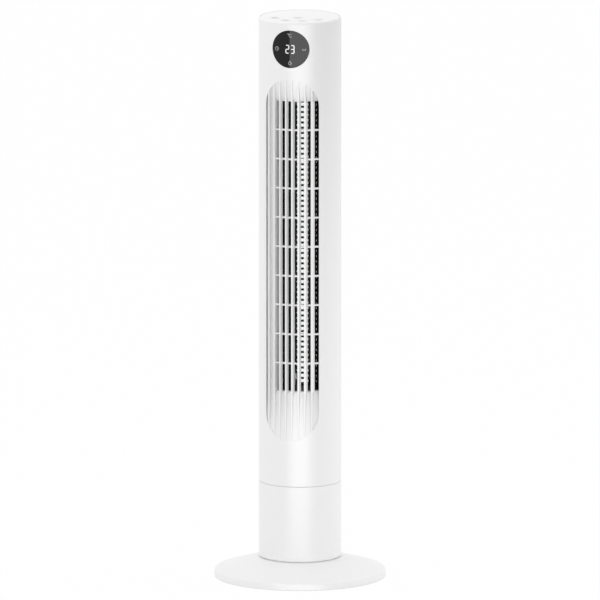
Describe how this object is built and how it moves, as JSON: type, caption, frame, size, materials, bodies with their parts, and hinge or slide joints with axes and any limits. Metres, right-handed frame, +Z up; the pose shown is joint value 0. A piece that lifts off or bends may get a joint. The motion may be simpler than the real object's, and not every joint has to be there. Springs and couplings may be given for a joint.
{
  "type": "tower fan",
  "caption": "Round-column tower fan with a fluted front grille, a display disc, top push buttons and a cross-flow impeller, swinging on a fixed pedestal over a low round base.",
  "frame": {"origin": "on the floor under the column's axis, the centre of the round base", "axes": "+Z up along the column, front with the grille and display towards -Y, +X to the right seen from behind"},
  "size_m": [0.2798, 0.2798, 0.9215],
  "materials": {
    "white_abs": "fine satin moulded white",
    "button_abs": "satin moulded white",
    "black_abs": "moulded black",
    "clear_resin": "clear moulded",
    "acetal": "slippery natural white",
    "black_rubber": "matt",
    "zinc_steel": "bright zinc plated",
    "shaft_steel": "ground",
    "lamination_steel": "stacked sheet",
    "copper": "enamelled winding wire",
    "bronze": "sintered, oiled",
    "board": "solder mask over glass fibre",
    "display_acrylic": "polished smoked black",
    "lit_polycarbonate": "milky, lit from behind"
  },
  "bodies": {
    "stand": {"base_cover": "white_abs", "rubber_feet": "black_rubber", "base_nut": "black_abs", "pedestal_shell": "white_abs", "cord_gland": "black_rubber", "pedestal_deck": "white_abs", "deck_screws": "zinc_steel", "glide_ring": "acetal", "swing_motor": "zinc_steel", "swing_motor_screws": "zinc_steel"},
    "tower": {"turntable": "acetal", "retaining_plate": "acetal", "retaining_screws": "zinc_steel", "turntable_screws": "zinc_steel", "front_shell": "white_abs", "rear_shell": "white_abs", "shell_screws": "zinc_steel", "inlet_liner": "black_abs", "scroll_wall": "black_abs", "tongue_wall": "black_abs", "upper_bulkhead": "black_abs", "bearing_holder": "black_rubber", "bearing_bush": "bronze", "motor_plate": "black_abs", "motor_grommets": "black_rubber", "motor_screws": "zinc_steel", "motor_upper_bell": "zinc_steel", "motor_lower_bell": "zinc_steel", "motor_stator": "lamination_steel", "motor_windings": "copper", "motor_bushes": "bronze", "power_board": "board", "power_board_screws": "zinc_steel", "run_capacitor": "black_abs", "top_cap": "white_abs", "control_board": "board", "control_board_screws": "zinc_steel", "tact_switches": "black_abs", "display_lens": "display_acrylic", "display_module": "lit_polycarbonate", "display_board": "board", "display_board_screws": "zinc_steel"},
    "impeller": {"impeller": "clear_resin", "set_screw": "zinc_steel", "impeller_pin": "shaft_steel", "motor_rotor": "lamination_steel", "motor_shaft": "shaft_steel"},
    "pinion": {"swing_pinion": "acetal", "swing_motor_shaft": "shaft_steel"},
    "button_power": {"button_power": "button_abs"},
    "button_timer": {"button_timer": "button_abs"},
    "button_mode": {"button_mode": "button_abs"},
    "button_swing": {"button_swing": "button_abs"},
    "button_speed": {"button_speed": "button_abs"}
  },
  "joints": [
    {"name": "tower_swing", "type": "hinge", "parent": "stand", "child": "tower", "pos_m": [0, 0, 0.1582], "axis": [0, 0, 1], "range_deg": [-40, 40]},
    {"name": "pinion_turn", "type": "hinge", "parent": "stand", "child": "pinion", "pos_m": [0.0375, 0, 0.15], "axis": [0, 0, 1], "range_deg": [-160, 160]},
    {"name": "impeller_spin", "type": "hinge", "parent": "tower", "child": "impeller", "pos_m": [-0.008, 0.004, 0.55], "axis": [0, 0, 1], "continuous": true},
    {"name": "button_power_press", "type": "slide", "parent": "tower", "child": "button_power", "axis": [0, 0, -1], "range_m": [0, 0.001], "stiffness_N_per_m": 300},
    {"name": "button_timer_press", "type": "slide", "parent": "tower", "child": "button_timer", "axis": [0, 0, -1], "range_m": [0, 0.001], "stiffness_N_per_m": 300},
    {"name": "button_mode_press", "type": "slide", "parent": "tower", "child": "button_mode", "axis": [0, 0, -1], "range_m": [0, 0.001], "stiffness_N_per_m": 300},
    {"name": "button_swing_press", "type": "slide", "parent": "tower", "child": "button_swing", "axis": [0, 0, -1], "range_m": [0, 0.001], "stiffness_N_per_m": 300},
    {"name": "button_speed_press", "type": "slide", "parent": "tower", "child": "button_speed", "axis": [0, 0, -1], "range_m": [0, 0.001], "stiffness_N_per_m": 300}
  ],
  "couplings": [
    {"joint": "pinion_turn", "follows": "tower_swing", "ratio": -4}
  ]
}
